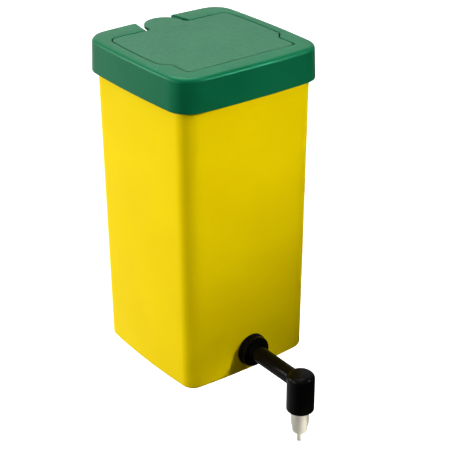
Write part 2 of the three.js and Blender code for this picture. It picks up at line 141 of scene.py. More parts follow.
# %% Boolean steps and the last touch
def worked(piece, how, *tools):
    """The piece after each tool is taken from it (DIFFERENCE) or joined to it (UNION)."""
    for tool in tools:
        step = piece.modifiers.new(tool.name, "BOOLEAN")
        step.operation, step.solver, step.object = how, "MANIFOLD", tool
    graph = bpy.context.evaluated_depsgraph_get()
    made = bpy.data.meshes.new_from_object(piece.evaluated_get(graph))
    piece.modifiers.clear()
    piece.data = made
    for tool in tools:
        bpy.data.objects.remove(tool)
    return piece


def ready(piece, edge_degrees=34):
    """Smooth shading with sharp edges above an angle, and a line that says whether it is closed."""
    cleaned(piece.data, 2e-6)
    piece.data.shade_smooth()
    piece.data.set_sharp_from_angle(angle=math.radians(edge_degrees))
    check = bmesh.new()
    check.from_mesh(piece.data)
    open_edges = sum(not edge.is_manifold for edge in check.edges)
    volume = check.calc_volume(signed=True) / MM**3
    print(f"{piece.name}: {len(check.faces)} faces, {volume:.0f} mm3, {open_edges} open edges")
    check.free()
    return piece


# %% [markdown]
# ## Rounded profiles
# No moulded or turned part has a knife edge: each corner is broken by a small radius, and that radius
# is what catches the light. A Bevel modifier could do it, but it struggles where booleans have left
# slivers. So corners are rounded in the profile itself, before it is carried round the part.

# %% Profile with rounded corners
def rounded(corners, steps=6):
    """A path through corners given as (across, up, radius).

    Each arc touches both legs of its corner at radius / tan(half the corner's angle) from it, and its
    points are a slerp between the two directions in which it leaves its centre.
    """
    points = np.array([corner[:2] for corner in corners], float)
    path = [points[0][None]]
    for before, corner, after, size in zip(points, points[1:], points[2:], corners[1:]):
        back, ahead = before - corner, after - corner
        back, ahead = back / np.linalg.norm(back), ahead / np.linalg.norm(ahead)
        radius = size[2]
        if radius == 0:
            path.append(corner[None])
            continue
        half = math.acos(np.clip(back @ ahead, -1, 1)) / 2
        centre = corner + (back + ahead) / np.linalg.norm(back + ahead) * radius / math.sin(half)
        start = corner + back * radius / math.tan(half) - centre
        end = corner + ahead * radius / math.tan(half) - centre
        turn = math.pi - 2 * half
        share = np.linspace(0, 1, steps + 1)[:, None]
        arc = (np.sin((1 - share) * turn) * start + np.sin(share * turn) * end) / math.sin(turn)
        path.append(centre + arc)
    path.append(points[-1][None])
    return np.concatenate(path)


# %% [markdown]
# ## Turned bodies
# The spout, the nipple and everything inside the valve are round, as if cut on a lathe. Blender has a
# Screw modifier for that, but a profile carried round an axis is one line of arithmetic: across
# times the cosine and sine of the angle. The upright parts turn about the housing's axis and the tube
# about its own axis, which runs level out of the tank's face.

# %% Turning about the two axes
def turned(name, profile, columns=96, closed_rows=False):
    """Upright: x and y are the radius times cosine and sine of the angle, and z is the height."""
    radius, height = np.asarray(profile, float).T[:, :, None]
    angle = np.linspace(0, 2 * np.pi, columns, endpoint=False)[None]
    x, y = radius * np.cos(angle), housing_y + radius * np.sin(angle)
    return body_from(name, np.stack([x, y, height + 0 * angle], -1), closed_rows)


def turned_on_tube(name, profile, columns=96, closed_rows=False):
    """Along the tube: the second number of the profile is the distance out from the tank's face."""
    radius, out = np.asarray(profile, float).T[:, :, None]
    angle = np.linspace(0, 2 * np.pi, columns, endpoint=False)[None]
    x, z = radius * np.cos(angle), spout_z + radius * np.sin(angle)
    return body_from(name, np.stack([x, face_y - out + 0 * angle, z], -1), closed_rows)


# %% [markdown]
# ## The square that isn't quite square
# Seen from above, the tank and the lid are squares with round corners, and their sides bow out a
# little so that the walls stay stiff and don't sink in as the plastic cools. A superellipse would
# look similar, but its corners can't be set on their own. Here each side is a long arc and each corner
# a short arc that touches two of them.

# %% Bow-sided square
def bowed_square(half, corner, bow, per_side=46, per_corner=16):
    """Rings of points for arrays of half width, corner radius and bow.

    A side's radius is (half squared + bow squared) / (2 bow). A corner's centre lies on the diagonal,
    where its distance from the side's centre is the side's radius less the corner's.
    """
    measures = np.broadcast_arrays(half, corner, bow)
    half, corner, bow = (np.asarray(measure, float)[:, None] for measure in measures)
    side = (half**2 + bow**2) / (2 * bow)
    middle = half - side
    diagonal = (middle + np.sqrt(2 * (side - corner) ** 2 - middle**2)) / 2
    turn = np.arctan2(diagonal, diagonal - middle)
    along = turn * np.linspace(-1, 1, per_side + 1)
    round_ = turn + (np.pi / 2 - 2 * turn) * np.linspace(0, 1, per_corner + 1)[1:-1]
    x = np.concatenate([middle + side * np.cos(along), diagonal + corner * np.cos(round_)], 1)
    y = np.concatenate([side * np.sin(along), diagonal + corner * np.sin(round_)], 1)
    return np.stack([np.concatenate([x, -y, -x, y], 1), np.concatenate([y, x, -y, -x], 1)], -1)


def stacked(rings, height):
    """Rings of x and y, each at its own height, as a grid of points."""
    height = np.broadcast_to(np.asarray(height, float)[:, None, None], (*rings.shape[:2], 1))
    return np.concatenate([rings, height], -1)


# %% [markdown]
# ## The tank
# The tank is a deep box of yellow plastic, two millimetres thick. It widens a little towards its mouth,
# because a moulding has to slide off its core, and its foot is rounded. Box modelling with Solidify
# would give the wall, but not the thick lip that the lid grips. So one skin runs up the outside, over
# the lip, down the inside and across the floor. Under the base is the small dish that hides the gate,
# the point where the plastic ran into the mould.

# %% Tank skin
TANK_WALL, TANK_FLOOR, FOOT_RADIUS = 2.0, 2.4, 3.2
BASE_CORNER, CORNER_GAIN, BASE_BOW, BOW_LOSS = 8.3, 1.0, 2.0, 1.2
LIP_HEIGHT, LIP_WIDTH, HOLE_RADIUS = 4.5, 1.4, 6.6
LID_WALL, LID_CORNER, LID_BOW, GAP = 2.2, 13.2, 1.75, 0.3


def tank_rings(inset, height):
    """Width, corner and bow change evenly from base to mouth; inset moves the ring inwards."""
    share = height / tank_top
    half = BASE_HALF + (MOUTH_HALF - BASE_HALF) * share - inset
    corner, bow = BASE_CORNER + CORNER_GAIN * share - inset, BASE_BOW - BOW_LOSS * share
    return bowed_square(half, corner, bow)


def lip_rings(inset):
    """The lip follows the inside of the lid's skirt, a gap away from it."""
    inset = np.asarray(inset, float)
    lip_half = lid_half - LID_WALL - GAP - inset
    return bowed_square(lip_half, LID_CORNER - LID_WALL - GAP - inset, LID_BOW)


def dish(radius, height):
    """Rings of the round dish under the base, with as many points as the tank has."""
    angle = np.arctan2(*tank_rings(np.zeros(1), np.zeros(1))[0].T[::-1])
    circle = np.stack([np.cos(angle), np.sin(angle)], -1)
    return stacked(np.asarray(radius, float)[:, None, None] * circle, height)


lip_foot = tank_top - LIP_HEIGHT
outside = rounded([(8, 0, 0), (0, 0, FOOT_RADIUS), (0, lip_foot, 0)], 9)
heights = np.linspace(FOOT_RADIUS, lip_foot, 40)[1:]
outside = np.concatenate([outside[:-1], np.stack([0 * heights, heights], -1)])
lip = rounded([(0, lip_foot + 1.4, 0), (0, tank_top, 0.6), (LIP_WIDTH, tank_top, 0)], 5)
inner_lip = rounded([(1.0, tank_top, 0), (TANK_WALL, tank_top, 0.5), (TANK_WALL, lip_foot, 0)], 4)[1:]
inside = rounded([(TANK_WALL, lip_foot, 0), (TANK_WALL, TANK_FLOOR, FOOT_RADIUS), (12, TANK_FLOOR, 0)], 9)
heights = np.linspace(lip_foot, TANK_FLOOR + FOOT_RADIUS, 30)[1:-1]
inside = np.concatenate([np.stack([0 * heights + TANK_WALL, heights], -1), inside[1:]])
tank_points = np.concatenate([
    dish([0.9, 1.3, 5.2, 5.6, 5.9], [0.15, 0.45, 0.45, 0.2, 0.0]),
    stacked(tank_rings(*outside.T), outside[:, 1]),
    stacked(lip_rings(lip[:, 0]), lip[:, 1]),
    stacked(tank_rings(*inner_lip.T), inner_lip[:, 1]),
    stacked(tank_rings(*inside.T), inside[:, 1]),
])
tank_body = body_from("tank_body", tank_points)
spout_hole = turned_on_tube("spout_hole", [(HOLE_RADIUS, -6), (HOLE_RADIUS, 2)])
ready(worked(tank_body, "DIFFERENCE", spout_hole))

# %% [markdown]
# ## The flap in plan
# The filling flap is narrow at its hinge, steps out in an easy S to its full width, has slightly bowed
# sides, and ends in a finger tab at the back. Half of that outline is drawn as lines, arcs and Bezier
# curves, and mirrored. The pocket for it in the lid is the same outline moved outwards by a clearance,
# so the two can't drift apart.

# %% Curves for an outline
def straight(start, end, step=0.5):
    count = max(2, int(math.dist(start, end) / step) + 1)
    return np.linspace(start, end, count)


def bend(centre, radius, start, end, count=14):
    """Points of an arc between two angles in degrees."""
    angle = np.radians(np.linspace(start, end, count))
    return np.array(centre) + radius * np.stack([np.cos(angle), np.sin(angle)], -1)


def bezier(*handles, count=24):
    """A Bezier curve: each handle weighted by its Bernstein polynomial."""
    t, last = np.linspace(0, 1, count)[:, None], len(handles) - 1
    weight = [math.comb(last, k) * t**k * (1 - t) ** (last - k) for k in range(last + 1)]
    return sum(w * np.array(h, float) for w, h in zip(weight, handles))


def both_halves(*runs):
    """A closed outline, from its right half and that half's mirror image."""
    half = np.concatenate(runs)
    half = half[np.r_[True, np.linalg.norm(np.diff(half, axis=0), axis=1) > 1e-4]]
    return np.concatenate([half, half[-2:0:-1] * (-1, 1)])


def grown(outline, distance):
    """The outline with each point moved along its normal, the mean tangent turned a quarter."""
    run = np.diff(outline, axis=0, append=outline[:1])
    run /= np.linalg.norm(run, axis=1, keepdims=True)
    mean = run + np.roll(run, 1, axis=0)
    mean /= np.linalg.norm(mean, axis=1, keepdims=True)
    stretch = distance / np.maximum((mean * run).sum(1, keepdims=True), 0.5)
    return outline + np.stack([mean[:, 1], -mean[:, 0]], -1) * stretch


# %% Flap outline
FLAP_HALF, HINGE_HALF, FLAP_FRONT, FLAP_BACK = 39.7, 34.4, -35.0, 30.9
FRONT_CORNER, BACK_CORNER, STEP_START, STEP_END, STEP_EASE = 2.5, 5, 11.6, 20.7, 4.55
TAB_RADIUS, TAB_ROOT, CLEARANCE, SKIRT_TAPER = 11.3, 14.4, 0.7, 0.5
lid_top_half = lid_half - SKIRT_TAPER
tab_y = lid_top_half - 0.5 - TAB_RADIUS
step_from, step_to = FLAP_FRONT + STEP_START, FLAP_FRONT + STEP_END
side, back_half = FLAP_HALF - 0.3, FLAP_HALF - 0.9
corner_x, corner_y = back_half - BACK_CORNER, FLAP_BACK - BACK_CORNER
bow_handle = (2 * FLAP_HALF - (side + back_half) / 2, (step_to + corner_y) / 2)
flap_side = [
    straight((0, FLAP_FRONT), (HINGE_HALF - FRONT_CORNER, FLAP_FRONT)),
    bend((HINGE_HALF - FRONT_CORNER, FLAP_FRONT + FRONT_CORNER), FRONT_CORNER, -90, 0),
    straight((HINGE_HALF, FLAP_FRONT + FRONT_CORNER), (HINGE_HALF, step_from)),
    bezier((HINGE_HALF, step_from), (HINGE_HALF, step_from + STEP_EASE),
           (side, step_to - STEP_EASE), (side, step_to)),
    bezier((side, step_to), bow_handle, (back_half, corner_y), count=60),
    bend((corner_x, corner_y), BACK_CORNER, 0, 90),
]
tab = [
    straight((corner_x, FLAP_BACK), (TAB_ROOT, FLAP_BACK)),
    bezier((TAB_ROOT, FLAP_BACK), (TAB_RADIUS, FLAP_BACK), (TAB_RADIUS, tab_y)),
    bend((0, tab_y), TAB_RADIUS, 0, 90, 40),
]
flap_outline = both_halves(*flap_side, *tab)
plain_outline = both_halves(*flap_side, straight((corner_x, FLAP_BACK), (0, FLAP_BACK)))
print(f"flap {np.ptp(flap_outline[:, 0]):.1f} by {np.ptp(flap_outline[:, 1]):.1f} mm")

# %% [markdown]
# ## The lid
# The lid is a square cap with a deep skirt. Its top has a pocket for the flap, with a shelf at the back
# and sides for the flap to rest on, a filling hole, and a notch at the back that leaves room for a
# finger under the tab. Made as one skin it would need a different profile at every point round it, so
# it is made as a machinist would: a solid cap, then cutters. The large cutters flare where they come
# out, and so the edges that they leave are rounded.

# %% Cutters that leave a rounded edge
FLAP_THICKNESS, LEDGE_THICKNESS, TOP_RADIUS = 2, 1.8, 2.4
SHELF_WIDTH, SHELF_INSET, HOLE_CORNER, NOTCH_ROUND = 3.4, 4.3, 6, 0.6
ledge_top = flap_face - FLAP_THICKNESS - GAP
ledge_foot, seat = ledge_top - LEDGE_THICKNESS, tank_top + GAP
plate_foot = lid_top - LID_WALL


def flared(name, outline_at, foot, top, edge):
    """A cutter through outline_at(growth): upright, then opening in a quarter round just below top."""
    rise = rounded([(0, foot, 0), (0, top + 0.01, edge), (edge + 0.01, top + 0.01, 0)])
    rise = np.concatenate([rise[:-1], [(edge, top + 1)]])
    rings = np.stack([outline_at(growth) for growth in rise[:, 0]])
    return body_from(name, stacked(rings, rise[:, 1]))


def recess_at(growth):
    return grown(plain_outline, CLEARANCE + growth)


def fill_hole_at(growth):
    """As wide as the hinge end of the flap, with round corners behind and square ones in front."""
    half, front = HINGE_HALF + CLEARANCE, FLAP_FRONT - CLEARANCE
    back, corner = FLAP_BACK + CLEARANCE - SHELF_WIDTH, HOLE_CORNER
    right = [straight((0, front), (half, front)), straight((half, front), (half, back - corner)),
             bend((half - corner, back - corner), corner, 0, 90),
             straight((half - corner, back), (0, back))]
    return grown(both_halves(*right), growth)


def notch_at(from_y, extra=0.0):
    """The finger notch: it narrows from the flap's back edge to the lid's back face."""
    root, mouth = TAB_ROOT + 0.5, TAB_RADIUS + 0.9
    lean = (root - mouth) / (lid_top_half - FLAP_BACK)
    turn = np.linspace(0.3, 1.57, 6)
    y = np.r_[np.linspace(from_y, lid_top_half - NOTCH_ROUND, 6),
              lid_top_half - NOTCH_ROUND * np.cos(turn), lid_half + LID_BOW + 1]
    past = np.clip(y - lid_top_half + NOTCH_ROUND, 0, NOTCH_ROUND)
    flare = NOTCH_ROUND - np.sqrt(np.clip(NOTCH_ROUND**2 - past**2, 0, None))
    half = root - lean * (y - FLAP_BACK) + extra + flare
    return np.concatenate([np.stack([half, y], -1), np.stack([-half, y], -1)[::-1]])


# %% Lid body
def lid_rings(inset, height, tapered=True):
    """The skirt leans in by half a millimetre from its foot to the top's edge."""
    rise = np.clip((height - lid_foot) / (lid_top - TOP_RADIUS - lid_foot), 0, 1)
    taper = SKIRT_TAPER * rise * tapered
    return stacked(bowed_square(lid_half - taper - inset, LID_CORNER - inset, LID_BOW), height)


skin = rounded([(9, lid_foot, 0), (0, lid_foot, 0.5), (0, lid_top, TOP_RADIUS), (9, lid_top, 0)], 10)
lid_cap = body_from("lid_cap", lid_rings(*skin.T))
bore = rounded([(1.0, lid_foot - 0.01, 0), (LID_WALL, lid_foot - 0.01, 0.35), (LID_WALL, seat, 0)])
bore = np.concatenate([[(1.0, lid_foot - 1)], bore])
lower_bore = body_from("lower_bore", lid_rings(*bore.T, tapered=False))
upper = rounded([(SHELF_INSET, seat - 0.5, 0), (SHELF_INSET, plate_foot, 0.8), (9, plate_foot, 0)])
upper_bore = body_from("upper_bore", lid_rings(*upper.T, tapered=False))
well_rings = np.stack([grown(plain_outline, CLEARANCE + 2)] * 2)
well = body_from("well", stacked(well_rings, [ledge_foot, plate_foot + 1]))
recess_back = FLAP_BACK + CLEARANCE
notch_rings = np.stack([notch_at(recess_back, 2)] * 2)
notch_box = body_from("notch_box", stacked(notch_rings, [seat - 1, plate_foot + 1]))
worked(upper_bore, "DIFFERENCE", well, notch_box)
worked(lid_cap, "DIFFERENCE", lower_bore)
worked(lid_cap, "DIFFERENCE", upper_bore)
print("lid cap hollowed:", len(lid_cap.data.polygons), "faces")

# %% [markdown]
# Now the pocket, the filling hole and the notch, and last the two sockets for the flap's hinge pins with
# the small reliefs that the mould maker leaves in the corners beside them.

# %% Pocket, filling hole, notch and hinge sockets
HINGE_INSET, HINGE_SINK, PIN_RADIUS, SOCKET_RADIUS = 3.4, 2, 1.15, 1.5
hinge_y, hinge_z = FLAP_FRONT + HINGE_INSET, lid_top - HINGE_SINK


def hinge_pin(side, radius, inner, outer, edge=0.0):
    """A round bar along X at the hinge, on the right if side is 1 and on the left if it is -1."""
    length = rounded([(0, inner, 0), (radius, inner, 0), (radius, outer, edge), (0, outer, 0)])
    angle = np.linspace(0, 2 * np.pi, 32, endpoint=False)[None]
    across, along = length.T[:, :, None]
    y, z = hinge_y + across * np.cos(angle), hinge_z + across * np.sin(angle)
    return body_from("hinge_pin", np.stack([side * along + 0 * angle, y, z], -1))


def corner_relief(side):
    """A small upright drill hole at a front corner of the pocket."""
    circle = bend((side * (HINGE_HALF - 0.7), FLAP_FRONT + 0.7), 1.3, 0, 348.75, 32)
    circles = np.stack([circle] * 2)
    return body_from("corner_relief", stacked(circles, [ledge_foot - 1, lid_top + 1]))


cutters = [
    flared("recess", recess_at, ledge_top, lid_top, 0.35),
    flared("fill_hole", fill_hole_at, lid_foot, ledge_top, 0.3),
    flared("finger_notch", lambda growth: notch_at(FLAP_BACK - 1.7, growth), ledge_top, lid_top,
           0.35),
    flared("notch_floor", lambda growth: notch_at(recess_back + 2, growth), seat + 1, ledge_top,
           0.02),
    *[hinge_pin(s, SOCKET_RADIUS, HINGE_HALF, HINGE_HALF + 2.65) for s in (1, -1)],
    *[corner_relief(s) for s in (1, -1)],
]
for cutter in cutters:
    worked(lid_cap, "DIFFERENCE", cutter)
ready(lid_cap)

# %% [markdown]
# ## The flap
# The flap is a two-millimetre plate. Its rim is rolled over with a small radius above and a smaller one
# below, worked out as the outline moved inwards step by step. The two hinge pins are joined to it, so
# flap and pins are one moulding, as on the real part.

# %% Flap body
def flap_rings(profile):
    rings = np.stack([grown(flap_outline, -inset) for inset in profile[:, 0]])
    return stacked(rings, profile[:, 1])


flap_under = flap_face - FLAP_THICKNESS
edge = rounded([
    (1.5, flap_under, 0), (0, flap_under, 0.2), (0, flap_face, 0.45), (1.5, flap_face, 0)])
fill_flap = body_from("fill_flap", flap_rings(edge))
pins = [hinge_pin(s, PIN_RADIUS, HINGE_HALF - 0.4, HINGE_HALF + 2.3, 0.2) for s in (1, -1)]
ready(worked(fill_flap, "UNION", *pins))

# %% [markdown]
# ## The grommet
# A soft black bush is squeezed into the tank's hole and seals it. It is a ring with a flange on each
# side of the wall, so its profile runs right round and closes on itself. The flanges stand off the
# wall by a small gap and by as much as the wall leans across the outer flange's radius.

# %% Grommet
FLANGE_RADIUS = 9.5
flange_back = GAP + (MOUTH_HALF - BASE_HALF) / tank_top * FLANGE_RADIUS
flange_front, inner_front = flange_back + 2.1, -TANK_WALL - flange_back
inner_back, grommet_bore, neck = inner_front - 2, 4.5, HOLE_RADIUS - GAP
grommet_bush = turned_on_tube("grommet_bush", rounded([
    (grommet_bore, 0, 0), (grommet_bore, flange_front, 0.3),
    (FLANGE_RADIUS, flange_front, 0.7), (FLANGE_RADIUS, flange_back, 0.25),
    (neck, flange_back, 0), (neck, inner_front, 0), (8.6, inner_front, 0.2),
    (8.6, inner_back, 0.7), (grommet_bore, inner_back, 0.3), (grommet_bore, -0.2, 0),
]), 112, closed_rows=True)
ready(grommet_bush)

# %% [markdown]
# ## The elbow
# One black moulding does four jobs: a barbed tail holds it in the grommet, a collar stops it going in
# too far, a tube carries the water out, and an upright housing holds the nipple. Tube and housing are
# two turned bodies joined into one, and then the waterway is bored out of them.

# %% Elbow body
TUBE_RADIUS, TUBE_END, HOUSING_RADIUS = 4.73, 43.0, 7.77
BARB_RADIUS, TAIL_RADIUS, COLLAR_RADIUS, COLLAR_THICKNESS = 5.3, 4.2, 8.9, 2.5
collar_back = flange_front + GAP
collar_front = collar_back + COLLAR_THICKNESS
barb_back = inner_back - GAP
tube = rounded([
    (0, barb_back - 4, 0), (3.7, barb_back - 4, 0.3), (BARB_RADIUS, barb_back - 1, 0.3),
    (BARB_RADIUS, barb_back, 0.15), (TAIL_RADIUS, barb_back, 0), (TAIL_RADIUS, collar_back, 0),
    (COLLAR_RADIUS, collar_back, 0.3), (COLLAR_RADIUS, collar_front, 0.5),
    (TUBE_RADIUS, collar_front, 0.6), (TUBE_RADIUS, TUBE_END, 0), (0, TUBE_END, 0),
])
spout_elbow = turned_on_tube("spout_elbow", tube, 112)
shoulder = housing_top - 0.4
housing = turned("housing", rounded([
    (0, housing_foot, 0), (HOUSING_RADIUS, housing_foot, 0.5), (HOUSING_RADIUS, shoulder, 3),
    (4, shoulder + 0.25, 1.5), (0, housing_top, 0),
], 10), 128)
worked(spout_elbow, "UNION", housing)
BORE_RADIUS, WATERWAY_RADIUS, CHAMFER = 5.3, 2.6, 0.4
socket_top, roof = nipple_top + GAP, housing_top - 3
nipple_socket = turned("nipple_socket", rounded([
    (0, housing_foot - 1, 0), (BORE_RADIUS + CHAMFER, housing_foot - 1, 0),
    (BORE_RADIUS + CHAMFER, housing_foot - 0.01, 0), (BORE_RADIUS, housing_foot + CHAMFER, 0),
    (BORE_RADIUS, socket_top, 0), (4, socket_top, 0), (4, roof, 0.8), (0, roof, 0)]), 96)
waterway = turned_on_tube("waterway", rounded([
    (0, barb_back - 5, 0), (2.9, barb_back - 5, 0), (2.9, barb_back - 3.99, 0),
    (WATERWAY_RADIUS, barb_back - 3.6, 0), (WATERWAY_RADIUS, TUBE_END + 0.5, 0),
    (0, TUBE_END + 0.5, 0)]), 64)
for bore in (nipple_socket, waterway):
    worked(spout_elbow, "DIFFERENCE", bore)
ready(spout_elbow)

# %% [markdown]
# ## Nipple and pin
# The nipple is turned from stainless bar: a straight barrel pushed into the housing, a short taper and a
# rounded nose. The pin hangs out of the nose. Its head lies on the valve seat inside, and when the
# animal tips it or pushes it up, water runs past it.

# %% Nipple and trigger pin
SEAT_HEIGHT, STRAIGHT_LENGTH, TAPER_LENGTH = 8.3, 9.1, 3.3
BARREL_RADIUS, NOSE_RADIUS, NOSE_BORE, CHAMBER_RADIUS = 5, 4.2, 2.35, 3.1
GROOVE_DROP, GROOVE_HALF, GROOVE_RADIUS = 4.5, 0.85, 3.75
STEM_RADIUS, HEAD_RADIUS, HEAD_HEIGHT = 1.38, 2.5, 1.2
seat_z, straight_foot = nose_z + SEAT_HEIGHT, housing_foot - STRAIGHT_LENGTH
groove_z = nipple_top - GROOVE_DROP
groove_foot, groove_top = groove_z - GROOVE_HALF, groove_z + GROOVE_HALF
nipple_tube = turned("nipple_tube", rounded([
    (NOSE_BORE, nose_z + 4, 0), (NOSE_BORE, nose_z, 0.25), (NOSE_RADIUS, nose_z, 1.5),
    (NOSE_RADIUS, straight_foot - TAPER_LENGTH, 0.8), (BARREL_RADIUS, straight_foot, 0.8),
    (BARREL_RADIUS, groove_foot, 0.1), (GROOVE_RADIUS, groove_foot, 0),
    (GROOVE_RADIUS, groove_top, 0), (BARREL_RADIUS, groove_top, 0.1),
    (BARREL_RADIUS, nipple_top, 0.4), (CHAMBER_RADIUS, nipple_top, 0.2),
    (CHAMBER_RADIUS, seat_z, 0), (NOSE_BORE, seat_z, 0.15), (NOSE_BORE, seat_z - 1, 0),
]), 112, closed_rows=True)
ready(nipple_tube)
seal_foot = seat_z + 0.35
head_foot = seal_foot + 1.35
head_top = head_foot + HEAD_HEIGHT
pin_stem = turned("pin_stem", rounded([
    (0, pin_tip, 0), (STEM_RADIUS, pin_tip, 0.8), (STEM_RADIUS, head_foot, 0.1),
    (HEAD_RADIUS, head_foot, 0.2), (HEAD_RADIUS, head_top, 0.2), (0, head_top, 0)]), 64)
ready(pin_stem)

# %% [markdown]
# ## The loose parts inside the valve
# From the seat upwards there are a rubber washer, the pin's head, a follower, a spring and a cap that
# holds them in, and an O-ring seals the barrel in its housing. They are seen only when the drinker is
# taken apart, but the motions move them, so each is a real body.

# %% Washer, follower, cap and O-ring
def washer(name, bore, radius, foot, top, edge):
    return turned(name, rounded([
        (bore, (foot + top) / 2, 0), (bore, foot, edge), (radius, foot, edge), (radius, top, edge),
        (bore, top, edge), (bore, (foot + top) / 2 + 0.01, 0)]), 64, closed_rows=True)


seal_washer = ready(washer("seal_washer", 1.75, 2.7, seal_foot, seal_foot + 1, 0.15))
button_foot = head_foot + 1.55
brim_top, button_top = button_foot + 1, button_foot + 2.5
follower = ready(turned("follower", rounded([
    (0, button_foot, 0), (2.6, button_foot, 0.15), (2.6, brim_top, 0.15),
    (1.2, brim_top, 0.15), (1.2, button_top, 0.3), (0, button_top, 0)]), 64))
retaining_cap = ready(washer("retaining_cap", 1.2, 2.8, nipple_top - 2, nipple_top, 0.2))
RING_RADIUS, RING_THICKNESS = 4.55, 0.55
ring_angle = np.linspace(0, 2 * np.pi, 20, endpoint=False)
round_ring = RING_THICKNESS * np.stack([np.cos(ring_angle), np.sin(ring_angle)], -1)
ring_section = round_ring + (RING_RADIUS, groove_z)
barrel_ring = ready(turned("barrel_ring", ring_section, 80, closed_rows=True))

# %% [markdown]
# ## The spring
# A round wire wound into five turns, with most of a turn at each end closed up so that it sits flat. A
# Bezier curve with a bevel would do, but then the mesh only exists when Blender draws it. Here the
# wire's centre is a helix whose pitch eases off at the ends, and a circle is carried along it.

# %% Valve spring
SPRING_RADIUS, WIRE, TURNS, CLOSED = 2.0, 0.3, 5, 0.7
spring_foot, spring_top = button_foot + 1.35, nipple_top - 2.35
wound = TURNS * np.linspace(0, 1, TURNS * 40 + 1)[:, None]
eased = np.clip((wound - CLOSED) / (TURNS - 2 * CLOSED), 0, 1)
first_turn, last_turn = np.clip(wound / CLOSED, 0, 1), np.clip((wound - TURNS) / CLOSED + 1, 0, 1)
lift = spring_foot + WIRE + (spring_top - spring_foot - 4 * WIRE) * eased
lift = lift + WIRE * (first_turn + last_turn)
wind = 2 * np.pi * wound
round_wire = np.linspace(0, 2 * np.pi, 14, endpoint=False)[None]
across = SPRING_RADIUS + WIRE * np.cos(round_wire)
spring_points = np.stack([across * np.cos(wind), housing_y + across * np.sin(wind),
                          lift + WIRE * np.sin(round_wire)], -1)
valve_coil = ready(body_from("valve_coil", spring_points))

# %% [markdown]
# ## Nodes for a moulded finish
# Plastic from a mould is never one flat colour. Pigment drifts slowly across it, handling leaves soft
# scuffs, and the steel of the mould prints its own fine grain. We could paint these on, but noise on
# Object coordinates covers every side at a real size, with no seams. Each helper below adds one such
# trait to a material, and a finish is a few of them together. Some finishes also tint their
# reflections. Real plastic mirrors a lamp in white, but in a room as white as this one that would
# wash its colour out.

# %% Traits of a finish
def new_finish(name, roughness, metallic=0.0, specular=0.5, tint=(1, 1, 1)):
    """A Principled material whose constant numbers are set on the shader itself."""
    material = bpy.data.materials.new(name)
    material.use_nodes = True
    shader = material.node_tree.nodes["Principled BSDF"]
    for socket, value in [("Roughness", roughness), ("Metallic", metallic),
                          ("Specular IOR Level", specular), ("Specular Tint", (*tint, 1))]:
        shader.inputs[socket].default_value = value
    return material


def noise(material, size, stretch=(1, 1, 1), detail=3.0):
    """Soft noise with lumps about size millimetres across, drawn out along each axis by stretch."""
    nodes, links = material.node_tree.nodes, material.node_tree.links
    place, mapping = nodes.new("ShaderNodeTexCoord"), nodes.new("ShaderNodeMapping")
    mapping.inputs["Scale"].default_value = [1 / s for s in stretch]
    cloud = nodes.new("ShaderNodeTexNoise")
    cloud.inputs["Scale"].default_value = 1 / (size * MM)
    cloud.inputs["Detail"].default_value = detail
    links.new(place.outputs["Object"], mapping.inputs["Vector"])
    links.new(mapping.outputs["Vector"], cloud.inputs["Vector"])
    return cloud.outputs["Fac"]


def ranged(material, value, low, high, from_low=0.3, from_high=0.7):
    """The value carried from one range to another, and held at the ends."""
    node = material.node_tree.nodes.new("ShaderNodeMapRange")
    for socket, number in [("From Min", from_low), ("From Max", from_high),
                           ("To Min", low), ("To Max", high)]:
        node.inputs[socket].default_value = number
    material.node_tree.links.new(value, node.inputs["Value"])
    return node.outputs["Result"]


def coloured(material, first, second, share):
    """Base colour that drifts between two colours as share goes from 0 to 1."""
    nodes, links = material.node_tree.nodes, material.node_tree.links
    mix = nodes.new("ShaderNodeMix")
    mix.data_type = "RGBA"
    mix.inputs["A"].default_value, mix.inputs["B"].default_value = (*first, 1), (*second, 1)
    links.new(share, mix.inputs["Factor"])
    links.new(mix.outputs["Result"], nodes["Principled BSDF"].inputs["Base Color"])


def dulled(material, roughness):
    """Roughness that follows a noise."""
    shader = material.node_tree.nodes["Principled BSDF"]
    material.node_tree.links.new(roughness, shader.inputs["Roughness"])


def grained(material, *layers):
    """Bumps laid over each other: each layer is (height, depth in millimetres, strength)."""
    nodes, links = material.node_tree.nodes, material.node_tree.links
    last = None
    for height, depth, strength in layers:
        bump = nodes.new("ShaderNodeBump")
        bump.inputs["Distance"].default_value = depth * MM
        bump.inputs["Strength"].default_value = strength
        links.new(height, bump.inputs["Height"])
        if last:
            links.new(last, bump.inputs["Normal"])
        last = bump.outputs["Normal"]
    links.new(last, nodes["Principled BSDF"].inputs["Normal"])


# %% [markdown]
# ## Tank yellow
# The tank is a strong, slightly warm yellow with a satin gloss. Its colour drifts a little from place to
# place, faint upright streaks follow the way the mould opens, and a very fine ripple breaks up the
# reflections, as it does on real polypropylene. Those reflections are weak and tinted yellow, so
# that the yellow stays strong right up to the brightest side.

# %% Tank finish
tank_yellow = new_finish("tank_yellow", 0.38, specular=0.06, tint=(1.0, 0.85, 0.1))
drift = noise(tank_yellow, 38, detail=2)
coloured(tank_yellow, (0.84, 0.61, 0.0003), (0.88, 0.65, 0.0004), ranged(tank_yellow, drift, 0, 1))
dulled(tank_yellow, ranged(tank_yellow, noise(tank_yellow, 9, (1, 1, 2.5), 4), 0.33, 0.46))
streaks, ripple = noise(tank_yellow, 6, (1, 1, 6)), noise(tank_yellow, 0.7)
grained(tank_yellow, (streaks, 0.05, 0.25), (ripple, 0.012, 0.3))
